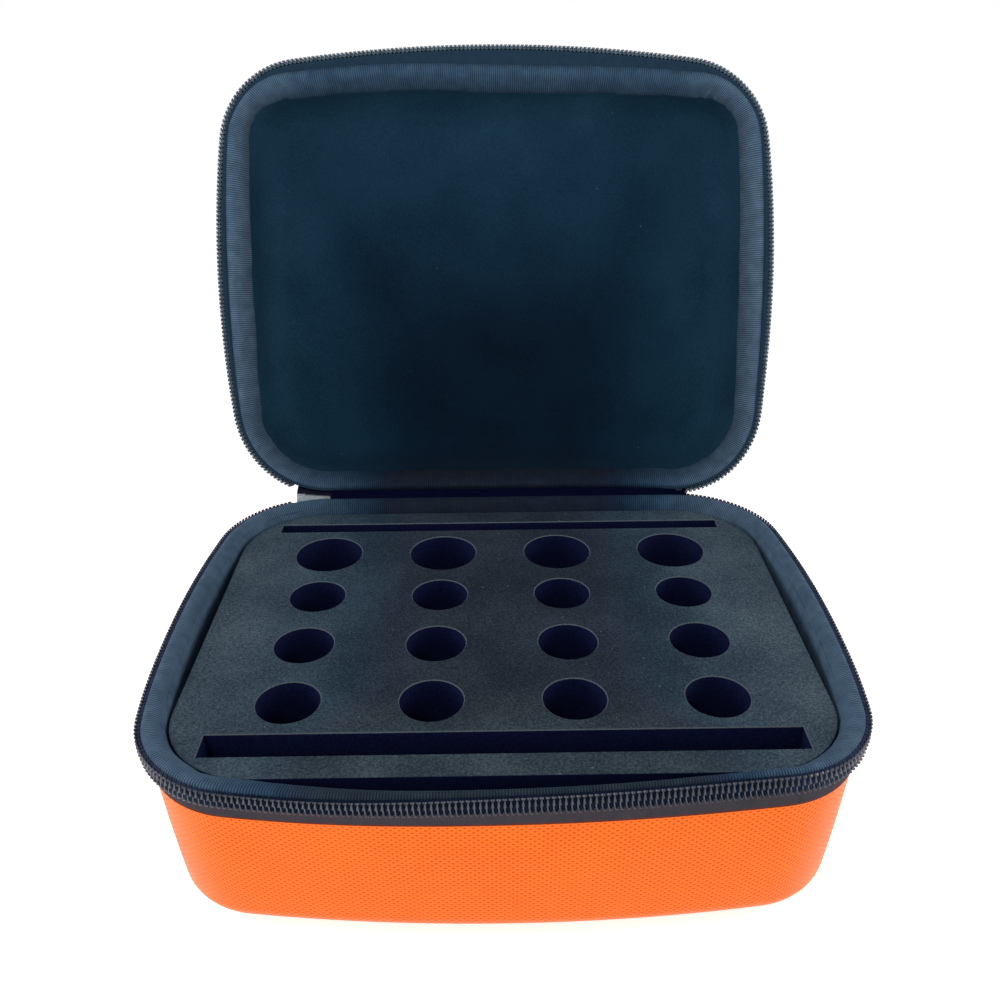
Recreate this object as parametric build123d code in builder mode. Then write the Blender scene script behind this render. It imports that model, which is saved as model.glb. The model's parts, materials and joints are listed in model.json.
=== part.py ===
from build123d import *
from math import atan2, cos, degrees, radians, sin, sqrt, tan
import os

# A zipped carry case for small bottles, standing open. All lengths are in millimetres.
# The origin is on the floor, below the middle of the closed case. X runs to the right,
# Y from the front to the hinge and Z up. Each half is drawn outwards from the split, the
# plane in which the two halves meet when the lid is shut.

os.makedirs("parts", exist_ok=True)

# Closed case
rim_width = 248.6
rim_depth = 196.0
side_crown = 4.35
side_crown_shift = 4.85
front_crown = 5.45
front_corner_radius = 36.0
back_corner_radius = 40.5
base_depth = 70.2
base_draft = 4.2
base_edge_radius = 11.0
lid_depth = 34.0
lid_draft = 5.0
lid_edge_radius = 21.0
open_angle = 106.4
square_angle = 90.0

# Walls
cover_thickness = 0.8
core_thickness = 3.6
lining_thickness = 0.8

# Binding folded over each rim
rim_setback = 2.2
binding_thickness = 0.8
binding_skirt = 8.0
binding_round = 0.6

# Padding inside the lid
lid_pad_width = 5.4
lid_pad_slope = 5.0
lid_cove_radius = 13.0

# Zip
tape_thickness = 0.6
tape_setback = 0.5
tape_reach = 14.2
coil_thickness = 2.4
coil_width = 6.2
coil_gap = 0.25
coil_round = 0.9
zip_left_reach = 17.4
zip_right_reach = 7.4
stop_length = 3.0
stop_width = 4.6
stop_thickness = 1.4
stop_gap = 0.3

# Hinge strip, and the line that it bends on
hinge_rise = 2.8
hinge_offset = 1.3
strip_thickness = 0.8
strip_end_setback = 2.6
strip_reach = 14.2
strip_bend = 1.2
strip_gap = 0.1
strip_end_gap = 0.3
strip_rim_clearance = 0.6
facing_thickness = 0.5
facing_end_setback = 5.6
facing_gap = 0.3

# Foam
foam_below_split = 5.2
foam_gap = 0.3
foam_corner_ease = 0.9
side_gap_share = 0.88
front_gap_share = 0.9
pad_thickness = 8.0
well_columns = 4
well_rows = 4
column_pitch = 50.0
row_pitch = 34.1
wells_shift = 2.7
large_well_radius = 14.35
small_well_radius = 11.3
slot_end_margin = 13.7
back_slot_width = 7.0
front_slot_width = 10.8
back_slot_step = 23.7
front_slot_step = 22.0

# Slider, bail and pull tab
slider_angle = 10.7
slider_drop = 3.2
slider_gap = 0.3
slider_length = 16.0
slider_mouth = 10.0
slider_nose = 7.6
slider_tail = 6.4
slider_shoulder = 4.0
slider_post_step = 5.2
post_radius = 1.5
plate_thickness = 1.1
channel_depth = 2.6
flange_width = 1.0
flange_depth = 0.8
bail_spacing = 8.6
bail_radius = 1.0
bail_height = 2.6
bail_bar = 1.6
tab_width = 7.0
tab_tip_width = 5.6
tab_length = 27.0
tab_thickness = 1.2
tab_eye_gap = 0.35
tab_slot_width = 3.0
tab_slot_length = 9.0
tab_slot_edge = 3.0
tab_tip_round = 1.6
slider_corner_round = 0.5

# Worked out from the sizes above
back_y = rim_depth / 2
wall = cover_thickness + core_thickness + lining_thickness
rim_top = rim_setback + binding_thickness
base_slope = tan(radians(base_draft))
lid_slope = tan(radians(lid_draft))
hinge_y = back_y + hinge_offset
hinge_height = base_depth + hinge_rise
base_plane = Plane(origin=(0, 0, base_depth), x_dir=(-1, 0, 0), z_dir=(0, 0, -1))
hinge_turn = Location((0, hinge_y, hinge_height), (-open_angle, 0, 0))
lid_plane = Plane(hinge_turn * Location((0, -hinge_y, -hinge_rise)))

# The outline: a round crown along each side and the front, corners that run smoothly into
# them and a straight back. All of its arcs keep their centres when it is drawn inwards.
front_corner_x = rim_width / 2 - front_corner_radius - side_crown
front_corner_y = front_crown + front_corner_radius - back_y
crown_step = side_crown_shift - front_corner_y
side_radius = front_corner_radius + (side_crown**2 + crown_step**2) / (2 * side_crown)
side_centre_x = rim_width / 2 - side_radius
front_radius = front_corner_radius + (front_crown**2 + front_corner_x**2) / (2 * front_crown)
front_centre_y = front_radius - back_y
back_centre_y = back_y - back_corner_radius
back_centre_step = side_radius - back_corner_radius
back_centre_x = side_centre_x + sqrt(back_centre_step**2 - (back_centre_y - side_crown_shift) ** 2)
front_angle = degrees(atan2(front_corner_x, front_centre_y - front_corner_y))
side_front_angle = degrees(atan2(crown_step, front_corner_x - side_centre_x))
side_back_angle = degrees(atan2(back_centre_y - side_crown_shift, back_centre_x - side_centre_x))


def rim_face(plane, inset):
    """The case's outline, on a plane that lies along the split, drawn in by inset all round."""
    corner = front_corner_radius - inset
    back_corner = back_corner_radius - inset
    side = side_radius - inset
    side_sweep = side_front_angle + side_back_angle
    corner_sweep = square_angle - front_angle - side_front_angle
    back_sweep = square_angle - side_back_angle
    left_angle = 2 * square_angle
    front_start_angle = 3 * square_angle - front_angle
    front_end_angle = 3 * square_angle + front_angle
    back_edge = back_y - inset
    with BuildSketch(plane) as outline:
        with BuildLine():
            CenterArc(
                (0, front_centre_y), front_radius - inset, front_start_angle, 2 * front_angle
            )
            CenterArc((front_corner_x, front_corner_y), corner, front_end_angle, corner_sweep)
            CenterArc((side_centre_x, side_crown_shift), side, -side_front_angle, side_sweep)
            CenterArc((back_centre_x, back_centre_y), back_corner, side_back_angle, back_sweep)
            Line((back_centre_x, back_edge), (-back_centre_x, back_edge))
            CenterArc((-back_centre_x, back_centre_y), back_corner, square_angle, back_sweep)
            CenterArc(
                (-side_centre_x, side_crown_shift), side, left_angle - side_back_angle, side_sweep
            )
            CenterArc(
                (-front_corner_x, front_corner_y),
                corner,
                left_angle + side_front_angle,
                corner_sweep,
            )
        make_face()
    return outline.sketch


def block(plane, near, near_inset, far, far_inset):
    """A solid between two outlines of the case, at depths near and far from the split."""
    with BuildPart() as solid:
        add(rim_face(plane.offset(near), near_inset))
        add(rim_face(plane.offset(far), far_inset))
        loft(ruled=True)
    return solid.part


def band(plane, slope, near, far, outside, inside):
    """A ring round the case between two depths, between two distances inside the outer skin."""
    with BuildPart() as ring:
        add(block(plane, near, outside + near * slope, far, outside + far * slope))
        add(
            block(plane, near, inside + near * slope, far, inside + far * slope),
            mode=Mode.SUBTRACT,
        )
    return ring.part


def moulding(plane, slope, near, far, inset, edge_radius):
    """A drafted block whose far edge is rounded: the outside or the inside of a moulded skin."""
    with BuildPart() as form:
        add(block(plane, near, inset + near * slope, far, inset + far * slope))
        end_face = form.faces().sort_by(Axis(plane.origin, plane.z_dir))[-1]
        fillet(end_face.edges(), radius=edge_radius)
    return form.part


def back_stretch(plane, left, right, reach):
    """A block across the back of a half, from left to right as seen from the front."""
    side = plane.x_dir.X
    with BuildPart() as stretch:
        with BuildSketch(plane):
            with Locations((side * (right - left) / 2, back_y)):
                Rectangle(left + right, back_y)
        extrude(amount=reach)
    return stretch.part


def keep(piece, name):
    piece.part.label = name
    export_step(piece.part, "parts/" + name + ".step")


# Base half: woven cover, heat-formed core and lining, one inside the other
base_outside = moulding(base_plane, base_slope, rim_top, base_depth, 0, base_edge_radius)
base_core_outside = moulding(
    base_plane,
    base_slope,
    rim_top,
    base_depth - cover_thickness,
    cover_thickness,
    base_edge_radius - cover_thickness,
)
base_core_inside = moulding(
    base_plane,
    base_slope,
    rim_top,
    base_depth - cover_thickness - core_thickness,
    cover_thickness + core_thickness,
    base_edge_radius - cover_thickness - core_thickness,
)
base_hollow = moulding(
    base_plane, base_slope, rim_top, base_depth - wall, wall, base_edge_radius - wall
)

with BuildPart() as base_outer_cover:
    add(base_outside)
    add(base_core_outside, mode=Mode.SUBTRACT)
keep(base_outer_cover, "base_outer_cover")

with BuildPart() as base_shell_core:
    add(base_core_outside)
    add(base_core_inside, mode=Mode.SUBTRACT)
keep(base_shell_core, "base_shell_core")

with BuildPart() as base_lining:
    add(base_core_inside)
    add(base_hollow, mode=Mode.SUBTRACT)
keep(base_lining, "base_lining")

with BuildPart() as base_binding:
    add(band(base_plane, base_slope, rim_setback, rim_top, 0, wall + binding_thickness))
    rim_edges = base_binding.edges().group_by(Axis.Z)[-1]
    fillet(rim_edges, radius=binding_round)
    add(
        band(
            base_plane, base_slope, rim_top, rim_top + binding_skirt, wall, wall + binding_thickness
        )
    )
keep(base_binding, "base_binding")

# Lid half, drawn on the tilted plane. Its lining is a pad that slopes inwards from the rim.
lid_outside = moulding(lid_plane, lid_slope, rim_top, lid_depth, 0, lid_edge_radius)
lid_core_outside = moulding(
    lid_plane,
    lid_slope,
    rim_top,
    lid_depth - cover_thickness,
    cover_thickness,
    lid_edge_radius - cover_thickness,
)
lid_core_inside = moulding(
    lid_plane,
    lid_slope,
    rim_top,
    lid_depth - cover_thickness - core_thickness,
    cover_thickness + core_thickness,
    lid_edge_radius - cover_thickness - core_thickness,
)
pad_end = rim_top + lid_pad_slope
pad_inset = wall + lid_pad_width
pad_near_inset = wall + rim_top * lid_slope
pad_far_inset = pad_inset + pad_end * lid_slope
lid_mouth = block(lid_plane, rim_top, pad_near_inset, pad_end, pad_far_inset)
lid_hollow = moulding(
    lid_plane, lid_slope, pad_end, lid_depth - wall, pad_inset, lid_cove_radius
)

with BuildPart() as lid_outer_cover:
    add(lid_outside)
    add(lid_core_outside, mode=Mode.SUBTRACT)
keep(lid_outer_cover, "lid_outer_cover")

with BuildPart() as lid_shell_core:
    add(lid_core_outside)
    add(lid_core_inside, mode=Mode.SUBTRACT)
keep(lid_shell_core, "lid_shell_core")

with BuildPart() as lid_lining:
    add(lid_core_inside)
    add(lid_mouth, mode=Mode.SUBTRACT)
    add(lid_hollow, mode=Mode.SUBTRACT)
keep(lid_lining, "lid_lining")

with BuildPart() as lid_binding:
    add(band(lid_plane, lid_slope, rim_setback, rim_top, 0, wall + binding_thickness))
    rim_edges = lid_binding.edges().group_by(Axis(lid_plane.origin, lid_plane.z_dir))[0]
    fillet(rim_edges, radius=binding_round)
    add(lid_mouth)
    add(
        block(
            lid_plane,
            rim_top,
            pad_near_inset + binding_thickness,
            pad_end,
            pad_far_inset + binding_thickness,
        ),
        mode=Mode.SUBTRACT,
    )
keep(lid_binding, "lid_binding")

# Zip: on each half a woven tape round the outside of the rim, a coil of teeth near its free
# edge and a stop past the right end of the coil. The tape runs into the hinge strip's ends.
half_strip = back_centre_x - strip_end_setback
tape_end = half_strip + strip_end_gap
coil_outside = tape_thickness + coil_thickness
stop_near = coil_gap + (coil_width - stop_width) / 2
zip_end_left = back_centre_x + zip_left_reach
zip_end_right = back_centre_x + zip_right_reach
stop_right = zip_end_right - stop_gap
halves = {"base": (base_plane, base_slope), "lid": (lid_plane, lid_slope)}
for half, (plane, slope) in halves.items():
    outwards = Axis(plane.origin, plane.z_dir)

    with BuildPart() as zip_tape:
        add(band(plane, slope, tape_setback, tape_reach, -tape_thickness, 0))
        add(back_stretch(plane, tape_end, tape_end, tape_reach), mode=Mode.SUBTRACT)
    keep(zip_tape, half + "_zip_tape")

    with BuildPart() as zip_teeth:
        add(band(plane, slope, coil_gap, coil_gap + coil_width, -coil_outside, -tape_thickness))
        coil_ends = zip_teeth.faces().sort_by(outwards)
        fillet(coil_ends[0].outer_wire().edges(), radius=coil_round)
        coil_ends = zip_teeth.faces().sort_by(outwards)
        fillet(coil_ends[-1].outer_wire().edges(), radius=coil_round)
        add(
            back_stretch(plane, zip_end_left, zip_end_right, coil_gap + coil_width),
            mode=Mode.SUBTRACT,
        )
    keep(zip_teeth, half + "_zip_teeth")

    with BuildPart() as zip_stop:
        add(
            band(
                plane,
                slope,
                stop_near,
                stop_near + stop_width,
                -tape_thickness - stop_thickness,
                -tape_thickness,
            )
        )
        add(
            back_stretch(plane, stop_length - stop_right, stop_right, tape_reach),
            mode=Mode.INTERSECT,
        )
    keep(zip_stop, half + "_zip_stop")

# Hinge: a strip of woven cloth outside the back, sewn to both covers and bent over the gap
# between them, and a facing of the same cloth behind the gap, from binding to binding.
def back_point(plane, slope, depth, outside):
    """A point at the middle of a half's back, at a depth and a distance outside its skin."""
    return plane.from_local_coords(Vector(0, back_y + outside - depth * slope, depth))


strip_middle = strip_gap + strip_thickness / 2
binding_clear = rim_setback - strip_rim_clearance
strip_route = [
    back_point(base_plane, base_slope, strip_reach, strip_middle),
    back_point(base_plane, base_slope, binding_clear, strip_middle),
    back_point(lid_plane, lid_slope, binding_clear, strip_middle),
    back_point(lid_plane, lid_slope, strip_reach, strip_middle),
]
with BuildPart() as hinge_strip:
    with BuildSketch(Plane.YZ.offset(-half_strip)):
        with BuildLine():
            FilletPolyline([(point.Y, point.Z) for point in strip_route], radius=strip_bend)
        trace(line_width=strip_thickness)
    extrude(amount=2 * half_strip)
keep(hinge_strip, "hinge_strip")

facing_step = strip_thickness / 2 + facing_gap + facing_thickness / 2
facing_route = [(point.Y - facing_step, point.Z) for point in strip_route[1:3]]
half_facing = back_centre_x - facing_end_setback
with BuildPart() as hinge_facing:
    with BuildSketch(Plane.YZ.offset(-half_facing)):
        with BuildLine():
            Polyline(facing_route)
        trace(line_width=facing_thickness)
    extrude(amount=2 * half_facing)
keep(hinge_facing, "hinge_facing")

# Foam: a pad on the floor of the base and, on it, a loose insert cut with wells and slots.
# Both are cut straight-sided, so that a narrow gap is left where the case's sides bow.
foam_inset = wall + binding_thickness + foam_gap
foam_half_width = rim_width / 2 - side_gap_share * side_crown - foam_inset
foam_front = back_y - front_gap_share * front_crown - foam_inset
foam_back = back_y - foam_inset
foam_bottom = base_depth - wall
pad_top = foam_bottom - pad_thickness


def foam_corner(centre_x, centre_y, foam_end, case_radius):
    """The radius at which a square-cut foam corner just clears the case's own corner."""
    reach = foam_half_width + foam_end - centre_x - centre_y
    return (reach / sqrt(2) - case_radius + foam_inset + foam_corner_ease) / (sqrt(2) - 1)


front_foam_radius = foam_corner(front_corner_x, -front_corner_y, foam_front, front_corner_radius)
back_foam_radius = foam_corner(back_centre_x, back_centre_y, foam_back, back_corner_radius)


def foam_face(depth):
    """The foam's outline at a depth below the split, drawn in with the case's own slope."""
    inset = depth * base_slope
    with BuildSketch(base_plane.offset(depth)) as outline:
        with Locations((0, (foam_back - foam_front) / 2)):
            Rectangle(2 * (foam_half_width - inset), foam_back + foam_front - 2 * inset)
        fillet(outline.vertices().group_by(Axis.Y)[0], radius=front_foam_radius - inset)
        fillet(outline.vertices().group_by(Axis.Y)[-1], radius=back_foam_radius - inset)
    return outline.sketch


with BuildPart() as foam_base_pad:
    add(foam_face(pad_top))
    add(foam_face(foam_bottom))
    loft(ruled=True)
    fillet(foam_base_pad.faces().sort_by(Axis.Z)[0].edges(), radius=base_edge_radius - wall)
keep(foam_base_pad, "foam_base_pad")

back_row_y = wells_shift + (well_rows - 1) * row_pitch / 2
front_row_y = wells_shift - (well_rows - 1) * row_pitch / 2
slot_length = 2 * (foam_half_width - slot_end_margin)
small_rows_y = wells_shift - row_pitch / 2
with BuildPart() as foam_insert:
    add(foam_face(foam_below_split))
    add(foam_face(pad_top))
    loft(ruled=True)
    with BuildSketch(base_plane.offset(foam_below_split)):
        with Locations((0, small_rows_y)):
            with GridLocations(column_pitch, row_pitch, well_columns, well_rows - 1):
                Circle(small_well_radius)
        with Locations((0, back_row_y)):
            with GridLocations(column_pitch, row_pitch, well_columns, 1):
                Circle(large_well_radius)
        with Locations((0, back_row_y + back_slot_step)):
            Rectangle(slot_length, back_slot_width)
        with Locations((0, front_row_y - front_slot_step)):
            Rectangle(slot_length, front_slot_width)
    extrude(amount=pad_top - foam_below_split, mode=Mode.SUBTRACT)
keep(foam_insert, "foam_insert")

# Slider: it rests at the left back corner, where the zip ends, flat against the tape. Its
# plane has x along the zip to the left, where its mouth is, y up and z outwards.
slider_turn = radians(slider_angle)
slider_radius = back_corner_radius + tape_thickness + slider_gap
slider_plane = Plane(
    origin=(
        -back_centre_x - slider_radius * sin(slider_turn),
        back_centre_y + slider_radius * cos(slider_turn),
        base_depth - slider_drop,
    ),
    x_dir=(-cos(slider_turn), -sin(slider_turn), 0),
    z_dir=(-sin(slider_turn), cos(slider_turn), 0),
)
half_slider = slider_length / 2
outer_plate_start = plate_thickness + channel_depth
slider_face = outer_plate_start + plate_thickness


# The slider's outline: a wide mouth with a blunt nose, and a narrow tail
with BuildSketch() as slider_plate:
    with BuildLine():
        Polyline(
            (half_slider, slider_nose / 2),
            (half_slider - slider_shoulder, slider_mouth / 2),
            (-half_slider, slider_tail / 2),
            (-half_slider, -slider_tail / 2),
            (half_slider - slider_shoulder, -slider_mouth / 2),
            (half_slider, -slider_nose / 2),
            close=True,
        )
    make_face()
    fillet(slider_plate.vertices(), radius=slider_corner_round)

# The channel that the coil runs in, open at both ends and narrowed by lips along its sides
with BuildSketch() as slider_channel:
    add(slider_plate.sketch)
    offset(amount=-flange_width, mode=Mode.REPLACE)
    with Locations((half_slider, 0)):
        Rectangle(2 * slider_shoulder, slider_mouth)
    with Locations((-half_slider, 0)):
        Rectangle(2 * slider_shoulder, slider_tail - 2 * flange_width)

with BuildPart() as zip_slider:
    with BuildSketch(slider_plane):
        add(slider_plate.sketch)
    extrude(amount=slider_face)
    with BuildSketch(slider_plane.offset(plate_thickness + flange_depth)):
        Rectangle(slider_length + slider_mouth, slider_mouth + slider_mouth)
    extrude(amount=channel_depth - 2 * flange_depth, mode=Mode.SUBTRACT)
    with BuildSketch(slider_plane.offset(plate_thickness)):
        add(slider_channel.sketch)
    extrude(amount=channel_depth, mode=Mode.SUBTRACT)
    with BuildSketch(slider_plane.offset(plate_thickness)):
        with Locations((half_slider - slider_post_step, 0)):
            Circle(post_radius)
    extrude(amount=channel_depth)
keep(zip_slider, "zip_slider")

# Bail: two round legs on the slider's face with a bar across their ends. The pull tab's eye
# goes round the left leg, so the tab lies along the case and swings about that leg.
leg_x = bail_spacing / 2
with BuildPart() as slider_bail:
    with BuildSketch(slider_plane.offset(slider_face)):
        with Locations((leg_x, 0), (-leg_x, 0)):
            Circle(bail_radius)
    extrude(amount=bail_height)
    with BuildSketch(slider_plane.offset(slider_face + bail_height)):
        SlotCenterToCenter(bail_spacing, 2 * bail_radius)
    extrude(amount=bail_bar)
keep(slider_bail, "slider_bail")

tab_start = slider_face + (bail_height - tab_thickness) / 2
tip_y = tab_width / 2 + tab_tip_round - tab_length
tip_x = tab_tip_width / 2 - tab_tip_round
slot_y = tab_width / 2 + tab_slot_edge + tab_slot_length / 2 - tab_length
with BuildPart() as pull_tab:
    with BuildSketch(slider_plane.offset(tab_start)):
        with Locations((leg_x, 0)):
            Circle(tab_width / 2)
        with Locations((leg_x - tip_x, tip_y), (leg_x + tip_x, tip_y)):
            Circle(tab_tip_round)
        make_hull()
        with Locations((leg_x, 0)):
            Circle(bail_radius + tab_eye_gap, mode=Mode.SUBTRACT)
        with Locations((leg_x, slot_y)):
            SlotOverall(tab_slot_length, tab_slot_width, rotation=90, mode=Mode.SUBTRACT)
    extrude(amount=tab_thickness)
keep(pull_tab, "pull_tab")
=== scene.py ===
import json
from math import atan2, ceil, cos, exp, pi, radians, sin, sqrt, tan, tanh

import bmesh
import bpy
from mathutils import Matrix, Vector, noise
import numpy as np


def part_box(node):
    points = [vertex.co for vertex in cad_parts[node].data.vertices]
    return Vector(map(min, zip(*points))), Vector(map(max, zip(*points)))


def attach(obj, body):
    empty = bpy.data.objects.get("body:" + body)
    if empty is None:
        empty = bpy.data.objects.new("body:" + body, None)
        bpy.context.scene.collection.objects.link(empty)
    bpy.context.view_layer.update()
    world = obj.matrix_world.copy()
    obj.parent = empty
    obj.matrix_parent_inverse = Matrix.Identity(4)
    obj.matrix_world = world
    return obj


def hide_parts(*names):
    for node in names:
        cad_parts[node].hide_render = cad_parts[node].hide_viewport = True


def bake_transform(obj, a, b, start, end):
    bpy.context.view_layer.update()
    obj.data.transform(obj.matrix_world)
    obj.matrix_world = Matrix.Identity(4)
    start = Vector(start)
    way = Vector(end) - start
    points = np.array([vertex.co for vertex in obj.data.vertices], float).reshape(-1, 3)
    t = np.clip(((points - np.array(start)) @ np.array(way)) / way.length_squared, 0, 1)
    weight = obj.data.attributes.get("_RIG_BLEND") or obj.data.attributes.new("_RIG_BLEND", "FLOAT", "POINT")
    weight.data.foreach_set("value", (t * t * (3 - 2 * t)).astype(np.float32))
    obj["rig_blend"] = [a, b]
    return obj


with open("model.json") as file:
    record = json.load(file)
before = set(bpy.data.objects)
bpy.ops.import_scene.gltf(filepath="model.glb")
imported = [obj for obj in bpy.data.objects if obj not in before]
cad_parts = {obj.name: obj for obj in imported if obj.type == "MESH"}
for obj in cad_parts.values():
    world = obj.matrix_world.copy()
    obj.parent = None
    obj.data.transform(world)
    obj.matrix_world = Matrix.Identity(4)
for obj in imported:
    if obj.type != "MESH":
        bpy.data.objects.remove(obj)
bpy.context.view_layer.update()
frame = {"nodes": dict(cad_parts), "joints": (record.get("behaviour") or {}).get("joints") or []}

# Outer covers, base and lid. Each is one piece of coarse orange woven nylon, laminated to
# foam board and pressed hot into a tray with straight, slightly sloping walls. The two
# trays share one outline: crowned sides and front, round corners and a straight back.
mm = 0.001
rim_width = 248.6 * mm
rim_depth = 196 * mm
side_crown = 4.35 * mm
side_shift = 4.85 * mm
front_crown = 5.45 * mm
front_corner = 36 * mm
back_corner = 40.5 * mm
base_depth = 70.2 * mm
lid_depth = 34 * mm
drafts = {"base": radians(4.2), "lid": radians(5)}
depths = {"base": base_depth, "lid": lid_depth}
edge_radii = {"base": 11 * mm, "lid": 21 * mm}
rim_top = 3 * mm
cover_thickness = 0.8 * mm
rim_give = {"base": 12 * mm, "lid": 25 * mm}
edge_give = 3 * mm
wall_belly = 1.3 * mm
corner_bulge = 2.4 * mm

hinge = next(joint for joint in frame["joints"] if joint["name"] == "lid_hinge")
hinge_line = Vector(hinge["pos_m"])
hinge_rise = hinge_line.z - base_depth
lid_turn = Matrix.Rotation(radians(hinge["range_deg"][0]), 4, "X")
places = {
    "base": Matrix.Translation((0, 0, base_depth)) @ Matrix.Diagonal((1, 1, -1, 1)),
    "lid": Matrix.Translation(hinge_line) @ lid_turn @ Matrix.Translation((0, -hinge_line.y, -hinge_rise)),
}

corner_x = rim_width / 2 - front_corner - side_crown
corner_y = front_crown + front_corner - rim_depth / 2
crown_step = side_shift - corner_y
side_radius = front_corner + (side_crown**2 + crown_step**2) / (2 * side_crown)
side_x = rim_width / 2 - side_radius
front_radius = front_corner + (front_crown**2 + corner_x**2) / (2 * front_crown)
front_y = front_radius - rim_depth / 2
back_y = rim_depth / 2 - back_corner
back_x = side_x + sqrt((side_radius - back_corner) ** 2 - (back_y - side_shift) ** 2)
front_turn = atan2(corner_x, front_y - corner_y)
side_front_turn = atan2(crown_step, corner_x - side_x)
side_back_turn = atan2(back_y - side_shift, back_x - side_x)

# Each stretch of the rim, clockwise from the middle of the back: its turn or length, its
# radius and the centre that it turns about. A straight stretch has no radius.
right_half = [
    (back_x, 0, (0, rim_depth / 2)),
    (pi / 2 - side_back_turn, back_corner, (back_x, back_y)),
    (side_back_turn + side_front_turn, side_radius, (side_x, side_shift)),
    (pi / 2 - side_front_turn - front_turn, front_corner, (corner_x, corner_y)),
    (front_turn, front_radius, (0, front_y)),
]
left_half = [(turn, radius, (-x, y)) for turn, radius, (x, y) in reversed(right_half[1:])]
rim = right_half + left_half + [(back_x, 0, (-back_x, rim_depth / 2))]
rim_length = sum(turn * (radius or 1) for turn, radius, centre in rim)


def rim_place(along):
    """A place on the rim: its axes run along the rim, outwards and away from the split."""
    facing = pi / 2
    for turn, radius, (x, y) in rim:
        step = min(along, turn * (radius or 1))
        along -= step
        if radius:
            facing -= step / radius
            point = Vector((x + radius * cos(facing), y + radius * sin(facing), 0))
        else:
            point = Vector((x + step, y, 0))
        if along <= 0:
            break
    axes = Matrix(((sin(facing), cos(facing), 0), (-cos(facing), sin(facing), 0), (0, 0, 1)))
    return Matrix.Translation(point) @ axes.to_4x4()


def carry_round(bm, section, step, start=0, end=rim_length, closed=False):
    """Carries a cross-section round the rim. The section lists points as distances outwards
    from the rim and away from the split. Its UV map runs along the rim and across the section."""
    along_layer = bm.verts.layers.float.new("along")
    across_layer = bm.verts.layers.float.new("across")
    uv_layer = bm.loops.layers.uv.new("cloth")
    place = rim_place(start)
    ring = [bm.verts.new(place @ Vector((0, out, depth))) for out, depth in section]
    across = 0
    for vert, before in zip(ring, [ring[0]] + ring):
        across += (vert.co - before.co).length
        vert[across_layer] = across
        vert[along_layer] = start
    edges = [bm.edges.new(pair) for pair in zip(ring, ring[1:])]
    if closed:
        edges.append(bm.edges.new((ring[-1], ring[0])))
    passed = 0
    for turn, radius, (x, y) in rim:
        length = turn * (radius or 1)
        first = max(start, passed)
        last = min(end, passed + length)
        passed += length
        if last <= first:
            continue
        steps = ceil((last - first) / step)
        share = (last - first) / steps
        for count in range(1, steps + 1):
            made = bmesh.ops.spin(
                bm,
                geom=ring + edges,
                cent=(x, y, 0),
                axis=(0, 0, -1),
                dvec=(0, 0, 0) if radius else (share, 0, 0),
                angle=share / radius if radius else 0,
                steps=1,
            )
            ring = [item for item in made["geom_last"] if isinstance(item, bmesh.types.BMVert)]
            edges = [item for item in made["geom_last"] if isinstance(item, bmesh.types.BMEdge)]
            for vert in ring:
                vert[along_layer] = first + share * count
            for edge in edges:
                for loop in edge.link_faces[0].loops:
                    loop[uv_layer].uv = (loop.vert[along_layer], loop.vert[across_layer])
    bmesh.ops.remove_doubles(bm, verts=bm.verts, dist=0.02 * mm)
    bm.verts.layers.float.remove(across_layer)


def rim_points(bm):
    """Goes through the points of a piece that was carried round the rim. Gives for each how far
    along the rim it is, its place there and its position in that place, which may be changed."""
    along_layer = bm.verts.layers.float["along"]
    found = {}
    for vert in bm.verts:
        along = vert[along_layer]
        if along not in found:
            place = rim_place(along)
            found[along] = (place, place.inverted())
        place, back = found[along]
        local = back @ vert.co
        yield along, place, local
        vert.co = place @ local


def between(value, start, end):
    """How far a value has come from a start to an end, as a share from 0 to 1."""
    return min(max((value - start) / (end - start), 0), 1)


def fading(distance, spread):
    """A share that is 1 at a spot and fades softly with the distance from it."""
    return exp(-((distance / spread) ** 2))


def soften(bm, half):
    """Lets a half give as the used case does. The base's rim leans out and sinks at the front
    left, its inner edge is drawn in at both front corners and pressed down on the right, and
    its walls belly a little. The lid is drawn in at the front and bulges at one back corner."""
    for along, place, local in rim_points(bm):
        point = place.translation
        faces_side = place[0][1] ** 2
        faces_back = max(0, place[1][1]) ** 2
        faces_front = max(0, -place[1][1]) ** 2
        held = exp(-max(local.z, 0) / rim_give[half])
        if half == "base":
            lean = 3 * fading(point.x + 60 * mm, 50 * mm) - 1.1 * fading(point.x - 75 * mm, 40 * mm)
            lean *= mm * faces_front * held
            spread = 0.7 * mm * fading(point.y + 55 * mm, 30 * mm) * faces_side * held
            free = (1 - 0.5 * faces_side) * (1 - faces_back)
            belly = wall_belly * sin(pi * between(local.z, 0, base_depth)) * free
            inner = held * between(-local.y, 1 * mm, 4.5 * mm)
            at_corner = min(1, max(0, 2.2 * abs(place[0][1]) * -place[1][1]))
            gathered = max(fading(point.x + 85 * mm, 40 * mm) * faces_front, at_corner)
            pressed = (0.5 + 0.5 * tanh((point.x + 5 * mm) / (30 * mm))) * faces_front
            local.y += 0.62 * lean + spread + belly - edge_give * gathered * inner
            local.z += 0.55 * lean + edge_give * pressed * inner
        else:
            ahead = between(-point.y, 55 * mm, 95 * mm)
            local.y -= (1.6 * mm + 0.007 * point.x) * ahead * ahead * (3 - 2 * ahead) * held
            off_corner = (point.xy - Vector((102 * mm, 89 * mm))).length
            local.y += corner_bulge * fading(off_corner, 28 * mm) * held


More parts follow.
